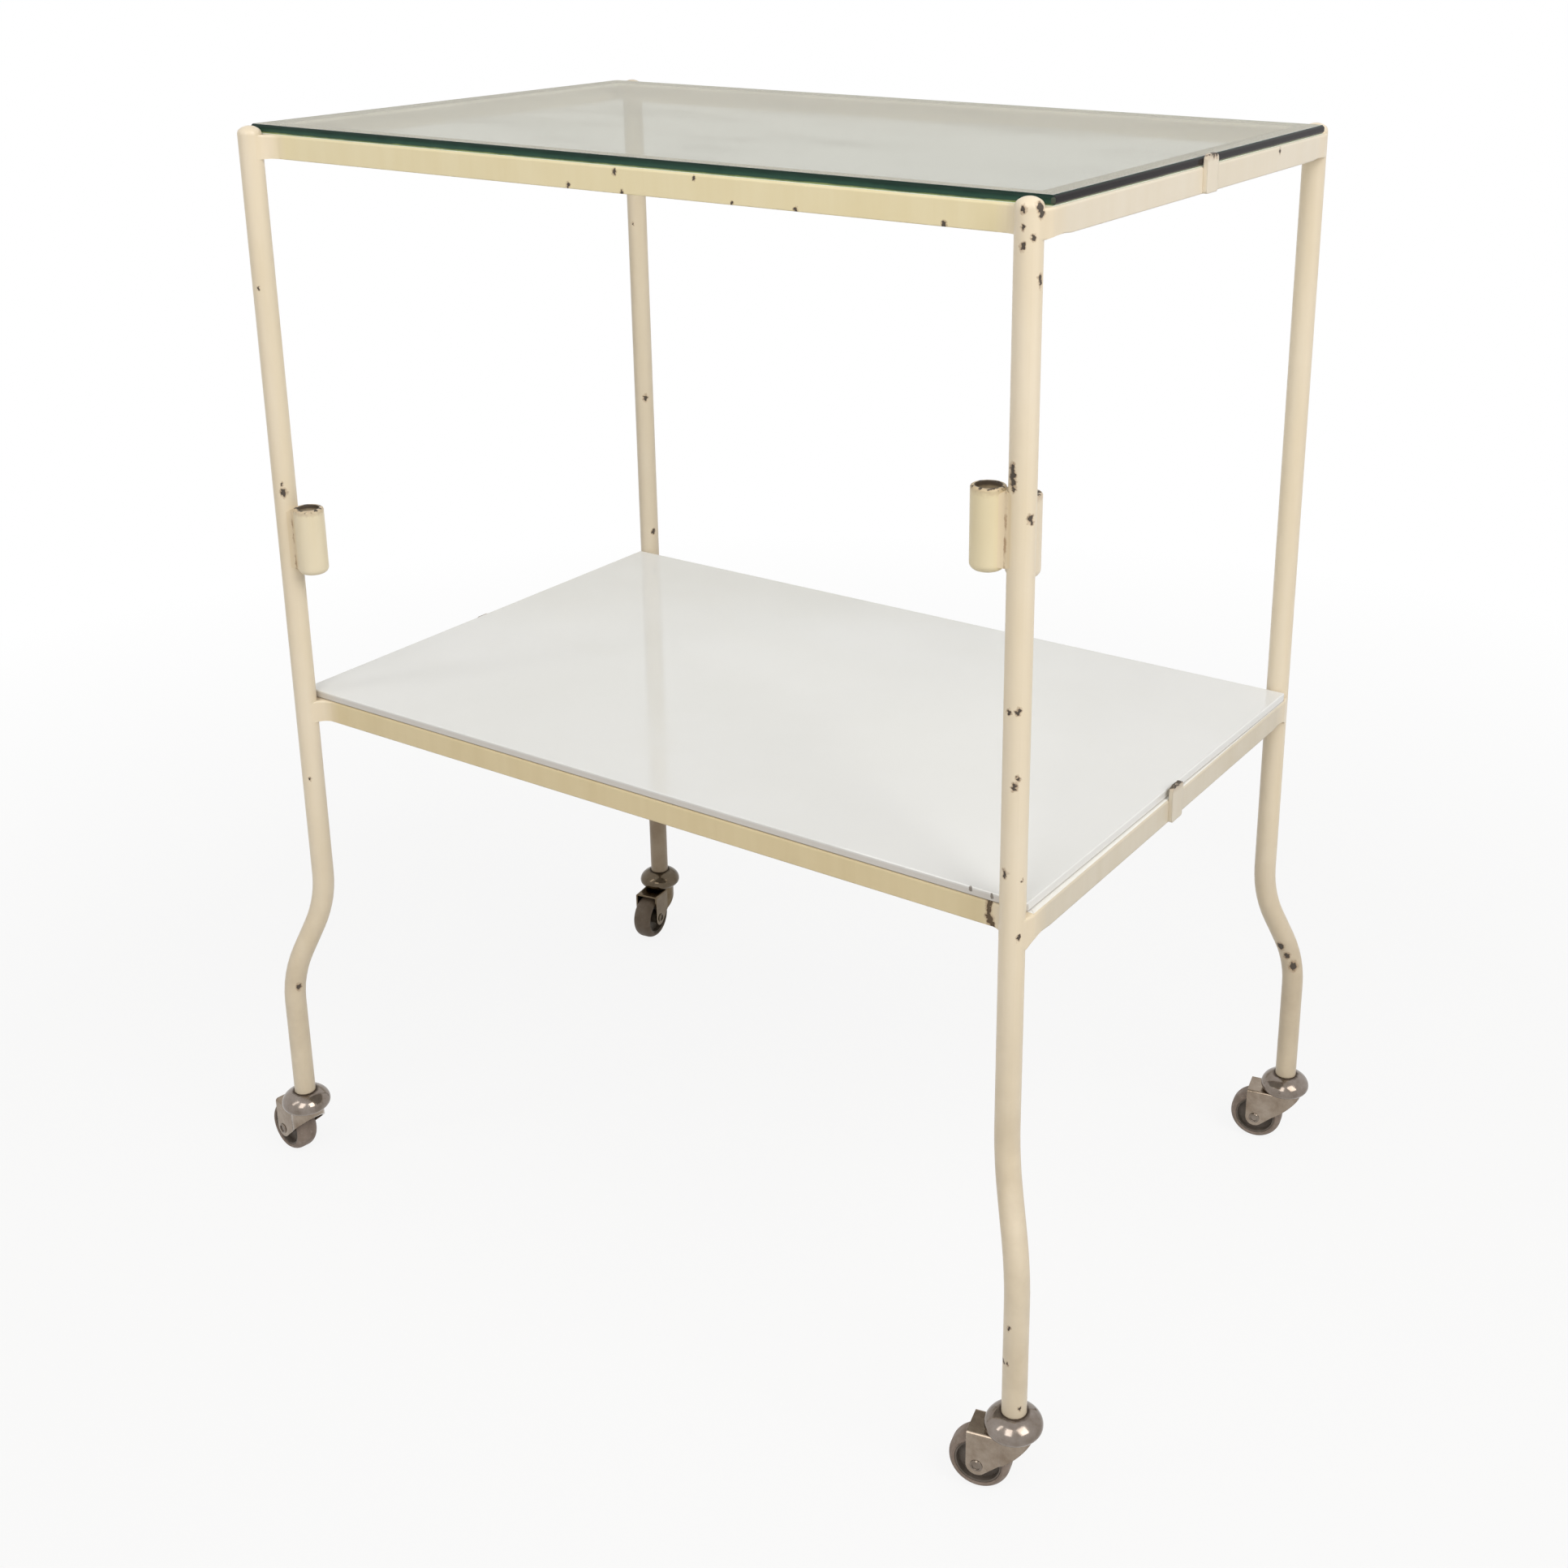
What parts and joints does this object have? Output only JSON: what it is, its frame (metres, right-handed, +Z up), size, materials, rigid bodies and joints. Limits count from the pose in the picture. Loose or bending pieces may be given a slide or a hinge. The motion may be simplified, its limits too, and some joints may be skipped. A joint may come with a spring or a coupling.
{
  "type": "hospital trolley",
  "caption": "Welded tube trolley with a clear glass top plate, an opal glass shelf, angle frames, rod sockets on the legs and swivel casters.",
  "frame": {"origin": "on the floor under the middle of the outline in plan", "axes": "+X along the length, +Y to the back, +Z up"},
  "size_m": [0.7006, 0.4814, 0.8102],
  "materials": {
    "cream_enamel": "worn cream enamel with dark chips",
    "clear_glass": "clear plate with green edges",
    "opal_glass": "opaque white plate",
    "chrome": "aged bright plating",
    "steel": "bare steel",
    "wheel_centre": "dark moulded centre",
    "wheel_tyre": "grey-brown hard tyre"
  },
  "bodies": {
    "frame": {"leg_front_left": "cream_enamel", "leg_front_right": "cream_enamel", "leg_rear_left": "cream_enamel", "leg_rear_right": "cream_enamel", "top_rail_front": "cream_enamel", "top_rail_rear": "cream_enamel", "top_rail_left": "cream_enamel", "top_rail_right": "cream_enamel", "top_tab_left": "cream_enamel", "top_tab_right": "cream_enamel", "shelf_rail_front": "cream_enamel", "shelf_rail_rear": "cream_enamel", "shelf_rail_left": "cream_enamel", "shelf_rail_right": "cream_enamel", "shelf_tab_left": "cream_enamel", "shelf_tab_right": "cream_enamel", "rod_socket_left": "cream_enamel", "rod_socket_right_front": "cream_enamel", "rod_socket_right_rear": "cream_enamel", "caster_stem_front_left": "steel", "caster_dome_front_left": "chrome", "caster_balls_front_left": "steel", "caster_stem_front_right": "steel", "caster_dome_front_right": "chrome", "caster_balls_front_right": "steel", "caster_stem_rear_left": "steel", "caster_dome_rear_left": "chrome", "caster_balls_rear_left": "steel", "caster_stem_rear_right": "steel", "caster_dome_rear_right": "chrome", "caster_balls_rear_right": "steel"},
    "top_plate": {"top_glass": "clear_glass"},
    "shelf_plate": {"shelf_glass": "opal_glass"},
    "fork_front_left": {"caster_fork_front_left": "chrome", "caster_axle_front_left": "chrome"},
    "wheel_front_left": {"caster_hub_front_left": "wheel_centre", "caster_tyre_front_left": "wheel_tyre"},
    "fork_front_right": {"caster_fork_front_right": "chrome", "caster_axle_front_right": "chrome"},
    "wheel_front_right": {"caster_hub_front_right": "wheel_centre", "caster_tyre_front_right": "wheel_tyre"},
    "fork_rear_left": {"caster_fork_rear_left": "chrome", "caster_axle_rear_left": "chrome"},
    "wheel_rear_left": {"caster_hub_rear_left": "wheel_centre", "caster_tyre_rear_left": "wheel_tyre"},
    "fork_rear_right": {"caster_fork_rear_right": "chrome", "caster_axle_rear_right": "chrome"},
    "wheel_rear_right": {"caster_hub_rear_right": "wheel_centre", "caster_tyre_rear_right": "wheel_tyre"}
  },
  "joints": [
    {"name": "top_plate_lift", "type": "slide", "parent": "frame", "child": "top_plate", "axis": [0, 0, 1], "range_m": [0, 0.05]},
    {"name": "shelf_plate_lift", "type": "slide", "parent": "frame", "child": "shelf_plate", "axis": [0, 0, 1], "range_m": [0, 0.05]},
    {"name": "swivel_front_left", "type": "hinge", "parent": "frame", "child": "fork_front_left", "pos_m": [-0.30943, -0.22207, 0.0504], "axis": [0, 0, 1], "continuous": true},
    {"name": "wheel_spin_front_left", "type": "hinge", "parent": "fork_front_left", "child": "wheel_front_left", "pos_m": [-0.32988, -0.21883, 0.0202], "axis": [-0.1564, -0.9877, 0], "continuous": true},
    {"name": "swivel_front_right", "type": "hinge", "parent": "frame", "child": "fork_front_right", "pos_m": [0.33171, -0.22207, 0.0504], "axis": [0, 0, 1], "continuous": true},
    {"name": "wheel_spin_front_right", "type": "hinge", "parent": "fork_front_right", "child": "wheel_front_right", "pos_m": [0.31154, -0.22673, 0.0202], "axis": [0.225, -0.9744, 0], "continuous": true},
    {"name": "swivel_rear_left", "type": "hinge", "parent": "frame", "child": "fork_rear_left", "pos_m": [-0.30943, 0.22207, 0.0504], "axis": [0, 0, 1], "continuous": true},
    {"name": "wheel_spin_rear_left", "type": "hinge", "parent": "fork_rear_left", "child": "wheel_rear_left", "pos_m": [-0.30584, 0.20169, 0.0202], "axis": [0.9848, 0.1736, 0], "continuous": true},
    {"name": "swivel_rear_right", "type": "hinge", "parent": "frame", "child": "fork_rear_right", "pos_m": [0.33171, 0.22207, 0.0504], "axis": [0, 0, 1], "continuous": true},
    {"name": "wheel_spin_rear_right", "type": "hinge", "parent": "fork_rear_right", "child": "wheel_rear_right", "pos_m": [0.31139, 0.21812, 0.0202], "axis": [0.1908, -0.9816, 0], "continuous": true}
  ]
}
